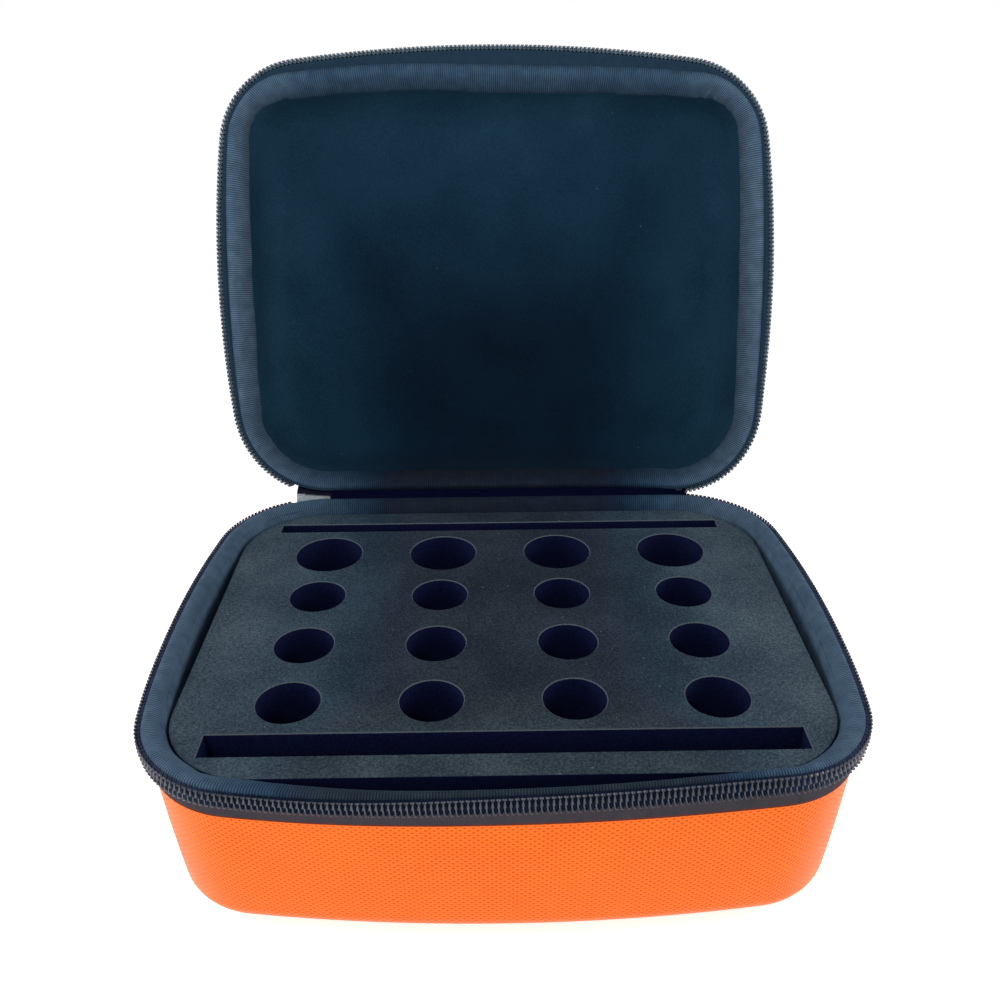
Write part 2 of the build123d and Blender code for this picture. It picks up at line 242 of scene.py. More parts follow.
def ease_lid(bm, reach=0):
    """Eases the padded edge of the lid: drawn in at the middle of its front, and pressed out
    towards its corners and the hinge. Only what lies further in than the reach moves."""
    for along, place, local in rim_points(bm):
        if local.y > -reach:
            continue
        side = place[0][1] ** 2
        behind = max(0, place[1][1]) ** 2
        ahead = max(0, -place[1][1]) ** 2
        middle = fading(place.translation.x - 15 * mm, 60 * mm)
        corner = min(1, (place.translation.y / (70 * mm)) ** 2)
        outer = side * (0.7 + 2.3 * corner) + 2.6 * behind + ahead * (6 * side - 3.3 * middle)
        inner = side * (0.8 + 3.6 * corner) + 4.6 * behind + ahead * (6 * side - 3.9 * middle)
        inwards = between(-local.y, 2 * mm, 11 * mm)
        fade = exp(-max(local.z - 8 * mm, 0) / (10 * mm))
        local.y += (outer + (inner - outer) * inwards) * fade * mm


def close_panels(bm):
    """Draws each open edge of a tray in to the middle, with the weave running straight across."""
    uv_layer = bm.loops.layers.uv["cloth"]
    before = set(bm.faces)
    open_edges = [edge for edge in bm.edges if edge.is_boundary]
    for depth in sorted({round(edge.verts[0].co.z, 4) for edge in open_edges}):
        edges = [edge for edge in open_edges if round(edge.verts[0].co.z, 4) == depth]
        size = 1
        for share in (0.9, 0.7, 0.45, 0.2):
            made = bmesh.ops.extrude_edge_only(bm, edges=edges)["geom"]
            verts = [item for item in made if isinstance(item, bmesh.types.BMVert)]
            edges = [item for item in made if isinstance(item, bmesh.types.BMEdge)]
            edges = [edge for edge in edges if edge.is_boundary]
            bmesh.ops.scale(bm, vec=(share / size, share / size, 1), verts=verts)
            size = share
        bmesh.ops.contextual_create(bm, geom=edges)
    for face in set(bm.faces) - before:
        for loop in face.loops:
            loop[uv_layer].uv = loop.vert.co.xy


def skin(inset, near, far, draft, radius, steps=10):
    """One side of a pressed tray, from near the split to its far edge, which is rounded."""
    centre_depth = far - radius
    centre_out = -(inset + centre_depth * tan(draft) + radius / cos(draft))
    turns = [draft + (pi / 2 - draft) * count / steps for count in range(steps + 1)]
    foot = [(centre_out + radius * cos(turn), centre_depth + radius * sin(turn)) for turn in turns]
    wall_steps = 5
    top_out = -(inset + near * tan(draft))
    wall = []
    for count in range(wall_steps):
        share = count / wall_steps
        wall.append((top_out + (foot[0][0] - top_out) * share, near + (foot[0][1] - near) * share))
    return wall + foot


def make_piece(bm, name, material, place=None):
    """Writes a shape out as an object in its place, with its faces turned outwards."""
    if place:
        bmesh.ops.transform(bm, matrix=place, verts=bm.verts)
    bmesh.ops.recalc_face_normals(bm, faces=bm.faces)
    mesh = bpy.data.meshes.new(name)
    bm.to_mesh(mesh)
    bm.free()
    mesh.materials.append(material)
    mesh.shade_smooth()
    mesh.set_sharp_from_angle(angle=radians(50))
    piece = bpy.data.objects.new(name, mesh)
    bpy.context.scene.collection.objects.link(piece)
    return piece


def belongs(piece, body, slot, *nodes):
    """A piece moves with a body and stands for CAD nodes, which it hides. The slot is not used."""
    if body:
        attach(piece, body)
    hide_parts(*nodes)


def paint(red, green, blue):
    """A colour on the screen, 0 to 255, as the light that a material gives back."""
    shades = [part / 255 for part in (red, green, blue)]
    return (*[part / 12.92 if part < 0.04 else ((part + 0.055) / 1.055) ** 2.4 for part in shades], 1)


def new_finish(name, colour, roughness, **sockets):
    """A material with its plain values set on the shader. Gives the material and its tree."""
    material = bpy.data.materials.new(name)
    material.use_nodes = True
    material.diffuse_color = colour
    shader = material.node_tree.nodes["Principled BSDF"]
    shader.inputs["Base Color"].default_value = colour
    shader.inputs["Roughness"].default_value = roughness
    for socket, value in sockets.items():
        shader.inputs[socket.replace("_", " ")].default_value = value
    return material, material.node_tree


def feed(tree, socket, value):
    """Gives a socket a value, or links it to a node or to one of a node's outputs."""
    if isinstance(value, bpy.types.Node):
        value = value.outputs[0]
    if isinstance(value, bpy.types.NodeSocket):
        tree.links.new(value, socket)
    else:
        socket.default_value = value


def wire(tree, kind, *values, **settings):
    """Adds a node. Values go to its sockets in order, settings to a property or a named socket."""
    node = tree.nodes.new("ShaderNode" + kind)
    for name, value in settings.items():
        if hasattr(node, name):
            setattr(node, name, value)
        else:
            feed(tree, node.inputs[name], value)
    for socket, value in zip(node.inputs, values):
        if value is not None:
            feed(tree, socket, value)
    return node


def sums(tree, operation, *values):
    return wire(tree, "Math", *values, operation=operation)


def ramp(tree, factor, *stops):
    """A colour that changes with a factor, through stops of (place, colour)."""
    node = wire(tree, "ValToRGB", factor)
    elements = node.color_ramp.elements
    for element, (place, colour) in zip(elements, (stops[0], stops[-1])):
        element.position = place
        element.color = colour
    for place, colour in stops[1:-1]:
        elements.new(place).color = colour
    return node


def blended(tree, kind, share, first, second):
    """Two colours blended, by a share of the second."""
    node = wire(tree, "Mix", data_type="RGBA", blend_type=kind)
    feed(tree, node.inputs["Factor"], share)
    feed(tree, node.inputs["A"], first)
    feed(tree, node.inputs["B"], second)
    return node.outputs["Result"]


def shaded(tree, colour, shade):
    """A colour darkened by a share, or by another colour."""
    return blended(tree, "MULTIPLY", 1, colour, shade)


def finish(tree, colour, height=None, depth=0.1 * mm, roughness=None):
    """Links a colour, a relief of a given depth and a roughness to the shader."""
    shader = tree.nodes["Principled BSDF"]
    feed(tree, shader.inputs["Base Color"], colour)
    if roughness:
        feed(tree, shader.inputs["Roughness"], roughness)
    if height:
        bump = wire(tree, "Bump", Strength=1, Distance=depth, Height=height)
        feed(tree, shader.inputs["Normal"], bump)


def grain(tree, size, detail=2, seed=0):
    """Noise on the object's own coordinates, with patches of about a given size."""
    where = wire(tree, "Mapping", wire(tree, "TexCoord").outputs["Object"], (seed, seed, seed))
    return wire(tree, "TexNoise", Vector=where, Scale=1 / size, Detail=detail)


def waves(tree, axis, pitch, wobble=0):
    """A cosine along or across the cloth, from its UV map, bent by a little noise."""
    place = wire(tree, "SeparateXYZ", wire(tree, "TexCoord").outputs["UV"]).outputs[axis]
    if wobble:
        shift = sums(tree, "MULTIPLY", grain(tree, 6 * mm), wobble)
        place = sums(tree, "ADD", place, shift)
    return sums(tree, "COSINE", sums(tree, "MULTIPLY", place, 2 * pi / pitch))


orange = paint(247, 107, 20)
orange_shade = paint(212, 70, 4)
orange_light = paint(253, 128, 42)
weave_width = 2.72 * mm
weave_height = 2.18 * mm
cover_cloth, tree = new_finish(
    "orange_nylon",
    orange,
    0.65,
    Specular_IOR_Level=0.12,
    Sheen_Weight=0.5,
    Sheen_Roughness=0.3,
    Sheen_Tint=paint(255, 242, 228),
)
checks = sums(
    tree, "MULTIPLY", waves(tree, "X", weave_width, 0.12 * mm), waves(tree, "Y", weave_height, 0.12 * mm)
)
columns = sums(tree, "MULTIPLY", waves(tree, "X", weave_width / 2, 0.12 * mm), 0.28)
rows = sums(tree, "MULTIPLY", waves(tree, "Y", weave_height / 2, 0.12 * mm), 0.3)
woven = sums(tree, "SUBTRACT", checks, sums(tree, "ADD", columns, rows))
weave = wire(tree, "MapRange", woven, -1.3, 0.7, 0, 1)
yarn = ramp(tree, weave, (0.05, orange_shade), (0.45, orange), (0.8, orange), (1.0, orange_light))
uneven = wire(tree, "MapRange", grain(tree, 18 * mm, 4), 0.3, 0.7, 0.95, 1.04)
finish(tree, shaded(tree, yarn, uneven), weave, 0.18 * mm)

for half in ("base", "lid"):
    draft = drafts[half]
    radius = edge_radii[half]
    outside = skin(0, rim_top, depths[half], draft, radius)
    inside = skin(
        cover_thickness, rim_top, depths[half] - cover_thickness, draft, radius - cover_thickness
    )
    bm = bmesh.new()
    carry_round(bm, outside[::-1] + inside, 3 * mm)
    soften(bm, half)
    close_panels(bm)
    cover = make_piece(bm, half + "_woven_cover", cover_cloth, places[half])
    belongs(cover, half, "cover_cloth", half + "_outer_cover")

# Shell cores, base and lid. Each is a sheet of heat-formed foam board, hidden between the
# cover and the lining that were pressed on with it, and bevelled inwards at the rim.
core_thickness = 3.6 * mm
core_inside = cover_thickness + core_thickness
bevel_end = rim_top + 3.5 * mm
core_grey = paint(52, 52, 54)
board, tree = new_finish("foam_board", core_grey, 0.9)
cells = grain(tree, 0.8 * mm, 3)
finish(tree, ramp(tree, cells, (0.3, paint(38, 38, 40)), (0.7, core_grey)), cells, 0.1 * mm)
for half in ("base", "lid"):
    draft = drafts[half]
    outside_radius = edge_radii[half] - cover_thickness
    outside = skin(cover_thickness, rim_top, depths[half] - cover_thickness, draft, outside_radius)
    inside = skin(
        core_inside, bevel_end, depths[half] - core_inside, draft, outside_radius - core_thickness
    )
    bm = bmesh.new()
    carry_round(bm, outside[::-1] + inside, 4 * mm)
    soften(bm, half)
    close_panels(bm)
    core = make_piece(bm, half + "_board_core", board, places[half])
    belongs(core, half, "shell_foam", half + "_shell_core")

# Linings. Brushed black knit, pressed onto the inside of each core. The base's lies flat on
# the core. The lid's covers a soft pad that slopes in from the rim to a coved hollow.
lining_thickness = 0.8 * mm
wall = core_inside + lining_thickness
pad_width = 5.4 * mm
pad_end = rim_top + 5 * mm
cove_radius = 13 * mm

# Powers of the painted shade's red, green and blue: the deeper the painted shade, the bluer.
shade_tint_powers = (1.5, 1.08, 0.86)


def painted_shade(tree, dark, high=1, near=0, middle=30 * mm):
    """Painted light and shade: cloth and foam are painted lighter and greyer at the sides of the case and
    high in its lid, where the light reaches, and darker and bluer in the middle, where shade falls. With
    near, the front is painted lighter too. Gives a shade to colour by."""
    place = wire(tree, "SeparateXYZ", wire(tree, "TexCoord").outputs["Object"])
    smooth = {"interpolation_type": "SMOOTHSTEP"}
    sideways = sums(tree, "ABSOLUTE", place.outputs["X"])
    share = wire(tree, "MapRange", sideways, middle, 112 * mm, dark, 1, **smooth)
    upper = wire(tree, "MapRange", place.outputs["Z"], 0.12, 0.25, dark, high, **smooth)
    share = sums(tree, "MAXIMUM", share, upper)
    shade_channels = [sums(tree, "POWER", share, power) for power in shade_tint_powers]
    tinted_shade = wire(tree, "CombineColor", *shade_channels)
    if not near:
        return tinted_shade
    front = wire(tree, "MapRange", place.outputs["Y"], -35 * mm, -90 * mm, dark, near, **smooth)
    return blended(tree, "LIGHTEN", 1, tinted_shade, front)


def dusted(tree, colour, dust_colour, spacing, size, rarity, share):
    """A colour with a few specks of dust on it."""
    where = wire(tree, "TexCoord").outputs["Object"]
    spots = wire(tree, "TexVoronoi", where, Scale=1 / spacing)
    spot = sums(tree, "LESS_THAN", spots.outputs["Distance"], size)
    chosen = sums(tree, "GREATER_THAN", wire(tree, "SeparateColor", spots.outputs["Color"]), rarity)
    dust_share = sums(tree, "MULTIPLY", spot, sums(tree, "MULTIPLY", chosen, share))
    return blended(tree, "MIX", dust_share, colour, dust_colour)


lining_cloth, tree = new_finish(
    "brushed_lining",
    paint(14, 30, 44),
    0.95,
    Specular_IOR_Level=0.1,
    Sheen_Weight=0.05,
    Sheen_Roughness=0.5,
    Sheen_Tint=paint(70, 110, 150),
)
pile = grain(tree, 0.95 * mm, 4)
patches = grain(tree, 35 * mm, 3, 5)
nap = sums(tree, "ADD", sums(tree, "MULTIPLY", pile, 0.5), sums(tree, "MULTIPLY", patches, 0.5))
nap_colour = ramp(tree, nap, (0.3, paint(11, 37, 56)), (0.7, paint(28, 62, 81)))
# Painted shade: the lining is painted darker and bluer in the middle of the case and low in the lid.
nap_shaded = shaded(tree, nap_colour, painted_shade(tree, 0.27))
finish(tree, dusted(tree, nap_shaded, paint(90, 120, 135), 7 * mm, 0.05, 0.93, 0.4), pile, 0.12 * mm)

base_lining_out, lid_lining_out = [
    skin(core_inside, bevel_end, depths[half] - core_inside, drafts[half], edge_radii[half] - core_inside)
    for half in ("base", "lid")
]
base_lining_in = skin(wall, bevel_end, base_depth - wall, drafts["base"], edge_radii["base"] - wall)
bm = bmesh.new()
carry_round(bm, base_lining_out[::-1] + base_lining_in, 4 * mm)
soften(bm, "base")
close_panels(bm)
base_lining = make_piece(bm, "base_brushed_lining", lining_cloth, places["base"])
belongs(base_lining, "base", "lining_cloth", "base_lining")

hollow = skin(wall + pad_width, pad_end, lid_depth - wall, drafts["lid"], cove_radius, 14)
mouth = [(-(wall + rim_top * tan(drafts["lid"])), rim_top)]
bm = bmesh.new()
carry_round(bm, lid_lining_out[::-1] + mouth + hollow, 3 * mm)
ease_lid(bm, 5 * mm)
soften(bm, "lid")
close_panels(bm)
lid_lining = make_piece(bm, "lid_padded_lining", lining_cloth, places["lid"])
belongs(lid_lining, "lid", "lining_cloth", "lid_lining")

# Bindings. A ribbed woven tape folded over each rim and sewn through, plump over the cut
# edges of the tray. On the base it hangs down inside, on the lid it runs in onto the pad.
binding_thickness = 0.8 * mm
rib_pitch = 0.95 * mm
binding_cloth, tree = new_finish(
    "ribbed_binding",
    paint(54, 70, 86),
    0.8,
    Specular_IOR_Level=0.1,
    Sheen_Weight=0.08,
    Sheen_Roughness=0.4,
    Sheen_Tint=paint(110, 150, 190),
)
ribs = waves(tree, "X", rib_pitch, 0.12 * mm)
threads = waves(tree, "Y", 0.5 * mm)
rib_share = wire(tree, "MapRange", ribs, -1, 1, 0, 1)
relief = sums(tree, "ADD", rib_share, sums(tree, "MULTIPLY", threads, 0.15))
rubbed = wire(tree, "MapRange", grain(tree, 5 * mm, 4, 7), 0.3, 0.7, 0, 0.3)
rib_tone = sums(tree, "ADD", sums(tree, "MULTIPLY", rib_share, 0.7), rubbed)
binding_colour = ramp(
    tree, rib_tone, (0.0, paint(38, 56, 75)), (0.5, paint(69, 91, 112)), (1.0, paint(98, 122, 145))
)
across_cloth = wire(tree, "SeparateXYZ", wire(tree, "TexCoord").outputs["UV"]).outputs["Y"]
# Painted shade: the binding is painted darker towards its inner edge, where it turns down into shade, and
# darker and bluer in the middle of the case.
inner_edge_shade = wire(tree, "MapRange", across_cloth, 15.5 * mm, 24 * mm, 0.56, 0.96)
worn = shaded(tree, painted_shade(tree, 0.12, 0.6, 0.26, 45 * mm), inner_edge_shade)
finish(tree, shaded(tree, binding_colour, worn), relief, 0.12 * mm)

# Paths in millimetres, outwards and away from the split, from the seam over the rim.
base_binding_path = [
    (0.2, 2.6), (0.2, 1.8), (0.1, 1.3), (-0.4, 1.0), (-1.2, 1.1), (-2.1, 1.5), (-3.0, 2.3),
    (-3.8, 3.4), (-4.5, 4.9), (-5.1, 6.8), (-5.5, 9.0), (-5.8, 12.0), (-6.1, 15.0), (-6.4, 18.0),
]
lid_binding_path = [
    (-2.4, 4.0), (-2.4, 3.3), (-2.7, 2.5), (-3.4, 1.9), (-4.4, 1.7), (-5.5, 2.0), (-6.6, 2.7),
    (-7.8, 3.7), (-9.0, 4.8), (-10.2, 6.0), (-11.2, 7.2), (-11.8, 8.3),
]


def folded(path, thickness):
    """A cross-section of cloth that follows a path, given in millimetres, with a thickness."""
    front = [Vector(point) * mm for point in path]
    behind = []
    for count, point in enumerate(front):
        way = front[min(count + 1, len(front) - 1)] - front[max(count - 1, 0)]
        across = Vector((way.y, -way.x)).normalized()
        behind.append(point - across * thickness)
    return [tuple(point) for point in front + behind[::-1]]


def gather(bm):
    """Puckers a binding where it is eased round the corners, most along its inner edge."""
    for along, place, local in rim_points(bm):
        pucker = noise.noise((along / (3.2 * mm), 0.5, 0))
        pucker += 0.6 * noise.noise((along / (1.5 * mm), 4.5, 0))
        drift = noise.noise((along / (22 * mm), 8.5, 0))
        corner = min(1, 2.2 * abs(place[0][1] * place[1][1]))
        inwards = between(-local.y, 0, 11 * mm)
        wrinkle = 0.8 * pucker * (0.25 + 0.75 * corner) * inwards**2
        local.z += (wrinkle + 0.25 * drift * inwards) * mm
        local.y += (wrinkle * inwards + 0.6 * drift * inwards**3) * mm


for half, path in (("base", base_binding_path), ("lid", lid_binding_path)):
    bm = bmesh.new()
    carry_round(bm, folded(path, binding_thickness), 1.2 * mm, closed=True)
    gather(bm)
    if half == "lid":
        ease_lid(bm)
    soften(bm, half)
    binding = make_piece(bm, half + "_ribbed_binding", binding_cloth, places[half])
    smooth = binding.modifiers.new("soft", "SUBSURF")
    smooth.levels = smooth.render_levels = 1
    belongs(binding, half, "binding_cloth", half + "_binding")

# Zip tapes. Black woven tape sewn round the outside of each rim, from one end of the hinge
# strip to the other, with its free edge at the split.
tape_thickness = 0.6 * mm
tape_near = 0.5 * mm
tape_far = 14.2 * mm
tape_start = back_x - 2.3 * mm
for half in ("base", "lid"):
    on_base = half == "base"
    # Painted shade: the lid's tape is painted a darker, bluer tone than the base's and darker still in the
    # middle of the case; it is the same tape.
    tape_tone = paint(58, 55, 62) if on_base else paint(30, 52, 70)
    tape_cloth, tree = new_finish(half + "_tape_cloth", tape_tone, 0.8, Specular_IOR_Level=0.1)
    across_cloth = wire(tree, "SeparateXYZ", wire(tree, "TexCoord").outputs["UV"]).outputs["Y"]
    from_foot = wire(tree, "MapRange", across_cloth, 0, 14 * mm, 0, 1)
    # Painted shadow and shade on the base's tape: a red-brown shadow line at its foot against the cover, and
    # dark navy shade where it lies under the coil, between the turns.
    sewn = (0.03, paint(96, 44, 30)), (0.07, tape_tone), (0.44, tape_tone), (0.54, paint(14, 18, 36))
    shaded_tape = ramp(tree, from_foot, *sewn) if on_base else tape_tone
    tape_ribs = wire(tree, "MapRange", waves(tree, "X", 0.8 * mm, 0.1 * mm), -1, 1, 0, 0.2)
    tape_rows = wire(tree, "MapRange", waves(tree, "Y", 0.5 * mm), -1, 1, 0, 0.1)
    tape_dust = wire(tree, "MapRange", grain(tree, 3 * mm, 4), 0.3, 0.7, 0.75, 0.95)
    tape_shade = sums(tree, "ADD", tape_ribs, tape_dust)
    if not on_base:
        shaded_tape = shaded(tree, shaded_tape, painted_shade(tree, 0.3))
    finish(tree, shaded(tree, shaded_tape, tape_shade), sums(tree, "ADD", tape_ribs, tape_rows), 0.04 * mm)
    flange = (1 if on_base else 0) * mm
    near = tape_near + 0.8 * flange
    slope = tan(drafts[half])
    section = [
        (tape_thickness - tape_far * slope, tape_far),
        (tape_thickness - 0.5 * tape_far * slope, 0.5 * tape_far),
        (tape_thickness - near * slope, near + 0.2 * mm),
        (0.6 * tape_thickness - near * slope, near - 0.1 * mm),
        (-near * slope, near),
        (-1.2 * mm, 1.7 * mm + flange),
        (-4.6 * mm, 2.5 * mm + 0.8 * flange),
        (-4.6 * mm, 3.1 * mm + 0.6 * flange),
        (-rim_top * slope, 1.5 * rim_top),
        (-tape_far * slope, tape_far),
    ]
    bm = bmesh.new()
    carry_round(bm, section, 3 * mm, tape_start, rim_length - tape_start, closed=True)
    bmesh.ops.holes_fill(bm, edges=bm.edges)
    if half == "lid":
        ease_lid(bm, 3 * mm)
    soften(bm, half)
    tape = make_piece(bm, half + "_woven_zip_tape", tape_cloth, places[half])
    belongs(tape, half, "zip_tape_cloth", half + "_zip_tape")

# Zip coils. One nylon wire wound flat and sewn along the tape. Each turn shows as a bar
# across the tape, forked and swollen near the split, where it grips, and bent aside at its
# heel. The wire's way back to the next turn lies under it, in the shade.
pitch = 1.84 * mm
coil_right = back_x + 7.1 * mm
coil_left = back_x + 17.1 * mm
wire_radius = 0.43 * mm

# Routes of the wire in millimetres: along the rim, outwards and away from the split. The widths
# are shares of the wire's radius.
bar_route = [
    (-0.86, 1.7, 7.0), (-0.76, 2.5, 7.35), (-0.46, 2.7, 7.15), (-0.14, 2.3, 6.4), (0, 1.95, 5.4),
    (0, 2.2, 4.4), (0, 2.75, 3.6), (0, 2.5, 2.7), (0, 2.3, 2.1),
]
bar_widths = [0.9, 1.25, 1.3, 0.85, 0.7, 1.0, 1.65, 1.0, 0.85]
left_prong = [(0, 2.3, 2.2), (0.24, 2.45, 1.4), (0.34, 2.65, 0.95), (0.34, 2.5, 0.7)]
right_prong = [(0, 2.3, 2.2), (-0.24, 2.45, 1.4), (-0.34, 2.65, 0.95), (-0.34, 2.5, 0.7)]
prong_widths = [0.75, 0.75, 1.15, 0.7]
way_back = [(0.92, 1.6, 6.9), (0.92, 1.6, 1.2)]
way_back_widths = [2.3, 2.3]


def draw_wire(bm, route, widths, sides):
    """Draws a wire along a route, with its own width at each point."""
    points = [Vector(point) for point in route]
    ring = bmesh.ops.create_circle(bm, cap_ends=False, segments=sides, radius=1)["verts"]
    edges = list({edge for vert in ring for edge in vert.link_edges})
    before = Matrix.Identity(4)
    for count, (point, width) in enumerate(zip(points, widths)):
        way = (points[min(count + 1, len(points) - 1)] - points[max(count - 1, 0)]).normalized()
        across = way.cross(Vector((1, 0, 0))).normalized()
        turned = Matrix((across.cross(way), across, way)).transposed().to_4x4()
        place = Matrix.Translation(point) @ turned @ Matrix.Diagonal((width, width, width, 1))
        if count:
            made = bmesh.ops.extrude_edge_only(bm, edges=edges)["geom"]
            ring = [item for item in made if isinstance(item, bmesh.types.BMVert)]
            edges = [item for item in made if isinstance(item, bmesh.types.BMEdge)]
            edges = [edge for edge in edges if edge.is_boundary]
        bmesh.ops.transform(bm, matrix=place @ before.inverted(), verts=ring)
        before = place
    bmesh.ops.holes_fill(bm, edges=bm.edges)


# Painted light and shade: the lid's coil is painted lighter than the base's, and each coil's way back darker
# than its bars, as lit and shaded copies of the same nylon; the base's way back is also painted darker and
# bluer in the middle of the case.
coil_tones = {"base": [(46, 51, 64), (44, 54, 80)], "lid": [(84, 98, 110), (70, 86, 98)]}
for half in ("base", "lid"):
    coil_finishes = []
    for tone, part in zip(coil_tones[half], ("_nylon_coil", "_shaded_nylon")):
        roughness, shine = (0.26, 0.85) if part == "_nylon_coil" else (0.9, 0.08)
        low = paint(*[0.82 * shade for shade in tone])
        high = paint(*[1.18 * shade for shade in tone])
        nylon, tree = new_finish(half + part, paint(*tone), roughness, Specular_IOR_Level=shine)
        scuffs = grain(tree, 2.5 * mm, 3)
        coil_colour = ramp(tree, scuffs, (0.3, low), (0.7, high))
        if half == "base" and coil_finishes:
            coil_colour = shaded(tree, coil_colour, painted_shade(tree, 0.24, middle=75 * mm))
        finish(tree, coil_colour, scuffs, 0.03 * mm)
        coil_finishes.append(nylon)
    slope = tan(drafts[half])
    turn = bmesh.new()
    turn.verts.layers.float.new("along")
    for route, widths, sides in (
        (way_back, way_back_widths, 4),
        (bar_route, bar_widths, 5),
        (left_prong, prong_widths, 4),
        (right_prong, prong_widths, 4),
    ):
        sloped = [(x * mm, (out - depth * slope) * mm, depth * mm) for x, out, depth in route]
        drawn = set(turn.faces)
        draw_wire(turn, sloped, [width * wire_radius for width in widths], sides)
        for face in set(turn.faces) - drawn:
            face.material_index = 1 if route is way_back else 0
    one_turn = bpy.data.meshes.new("one_turn")
    turn.to_mesh(one_turn)
    turn.free()
    bm = bmesh.new()
    count = int((rim_length - coil_right - coil_left) / pitch)
    for number in range(count):
        along = coil_right + pitch * (number + 0.5)
        here = rim_place(along)
        one_turn.attributes["along"].data.foreach_set("value", [along] * len(one_turn.vertices))
        one_turn.transform(here)
        bm.from_mesh(one_turn)
        one_turn.transform(here.inverted())
    bpy.data.meshes.remove(one_turn)
    soften(bm, half)
    coil = make_piece(bm, half + "_zip_coil", coil_finishes[0], places[half])
    coil.data.materials.append(coil_finishes[1])
    belongs(coil, half, "zip_coil", half + "_zip_teeth")

# Zip stops. A little black-coated metal clip crimped over the tape past the right end of
# each coil.
stop_length = 3 * mm
stop_near = 1.05 * mm
stop_width = 4.6 * mm
stop_thickness = 1.4 * mm
black_clip, tree = new_finish("black_clip", paint(18, 24, 38), 0.5)
clip_wear = grain(tree, 1.2 * mm, 3)
finish(
    tree, ramp(tree, clip_wear, (0.3, paint(12, 17, 30)), (0.7, paint(26, 33, 48))), clip_wear, 0.02 * mm
)
for half in ("base", "lid"):
    slope = tan(drafts[half])
    bm = bmesh.new()
    bmesh.ops.create_cube(bm, size=1)
    bmesh.ops.scale(bm, vec=(stop_length, stop_thickness, stop_width), verts=bm.verts)
    bmesh.ops.bevel(
        bm, geom=bm.edges, offset=0.4 * mm, segments=3, profile=0.5, affect="EDGES", material=-1
    )
    out = tape_thickness + stop_thickness / 2 - (stop_near + stop_width / 2) * slope
    middle = Matrix.Translation((0, out, stop_near + stop_width / 2))
    stop_along = coil_right - 0.6 * mm - stop_length / 2
    bmesh.ops.transform(bm, matrix=rim_place(stop_along) @ middle, verts=bm.verts)
    along_layer = bm.verts.layers.float.new("along")
    for vert in bm.verts:
        vert[along_layer] = stop_along
    soften(bm, half)
    stop = make_piece(bm, half + "_crimped_stop", black_clip, places[half])
    belongs(stop, half, "zip_metal", half + "_zip_stop")

# Slider, bail and pull tab. The slider is die-cast zinc and waits at the left end of the
# zip. The bail is bent wire held in its ears, and the stamped tab hangs from the bail.
coated_zinc, tree = new_finish("coated_zinc", paint(200, 210, 216), 0.4, Metallic=0.25)
specks = grain(tree, 1.6 * mm, 3)
zinc_colour = ramp(tree, specks, (0.3, paint(188, 198, 204)), (0.7, paint(212, 222, 228)))
zinc_gloss = wire(tree, "MapRange", grain(tree, 5 * mm, 3, 3), 0.3, 0.7, 0.28, 0.46)
finish(tree, zinc_colour, specks, 0.02 * mm, zinc_gloss)
for name in ("zip_slider", "slider_bail", "pull_tab"):
    frame["nodes"][name].data.materials.clear()
    frame["nodes"][name].data.materials.append(coated_zinc)

# Hinge strip. Black webbing glued and sewn over the back of both halves, in the gap between
# the ends of the zip tapes. It bends in the open between the two rims.
strip_thickness = 0.8 * mm
strip_out = 1.1 * mm
strip_reach = 14.2 * mm
strip_left = 2 * mm - coil_left
strip_foot = back_x - 1 * mm
strip_right = coil_right + 0.4 * mm
strip_cloth, tree = new_finish("hinge_webbing", paint(20, 26, 40), 0.85, Specular_IOR_Level=0.2)
webbing = sums(tree, "MULTIPLY", waves(tree, "X", 1.1 * mm, 0.1 * mm), waves(tree, "Y", 1.1 * mm, 0.1 * mm))
web_share = wire(tree, "MapRange", webbing, -1, 1, 0, 1)
finish(tree, ramp(tree, web_share, (0, paint(6, 9, 30)), (1, paint(15, 21, 46))), web_share, 0.1 * mm)
dark_cloth, tree = new_finish("dark_facing", paint(5, 8, 24), 0.95, Specular_IOR_Level=0.05)
facing_pile = grain(tree, 0.8 * mm, 3)
finish(
    tree, ramp(tree, facing_pile, (0.3, paint(3, 7, 32)), (0.7, paint(7, 12, 44))), facing_pile, 0.08 * mm
)


def cross_hinge(name, material, start, end, base_points, lid_points, thickness, lift):
    """A cloth across the hinge, from along the base's rim to along the lid's. Its points are
    distances outwards and away from the split, and the bend between stands up by the lift."""
    rows = len(base_points) + len(lid_points)
    columns = int((end - start) / (3 * mm))
    bm = bmesh.new()
    bmesh.ops.create_grid(bm, x_segments=columns, y_segments=rows, size=1)
    uv_layer = bm.loops.layers.uv.new("cloth")
    for vert in bm.verts:
        along = start + (end - start) * (vert.co.x + 1) / 2
        row = round((vert.co.y + 1) / 2 * rows)
        here = rim_place(along % rim_length)
        clear = min(max(-along - strip_foot, 0) / (15 * mm), 1)
        gusset = Vector((0, 0.3, -0.8 - 3.5 * clear)) * mm
        sewn = [gusset if clear else Vector((0, out, depth)) for out, depth in base_points]
        route = [places["base"] @ here @ point for point in sewn]
        onward = [places["lid"] @ here @ Vector((0, out, depth)) for out, depth in lid_points]
        bend = (route[-1] + onward[0]) / 2 + Vector((0, -0.5, 0.85)) * lift
        route = route + [bend] + onward
        for loop in vert.link_loops:
            loop[uv_layer].uv = (along, sum((b - a).length for a, b in zip(route[:row], route[1:])))
        vert.co = route[row]
    bmesh.ops.remove_doubles(bm, verts=bm.verts, dist=0.02 * mm)
    bmesh.ops.solidify(bm, geom=bm.faces, thickness=thickness)
    cloth = make_piece(bm, name, material)
    length = sum((b - a).length for a, b in zip(route, route[1:]))
    return cloth


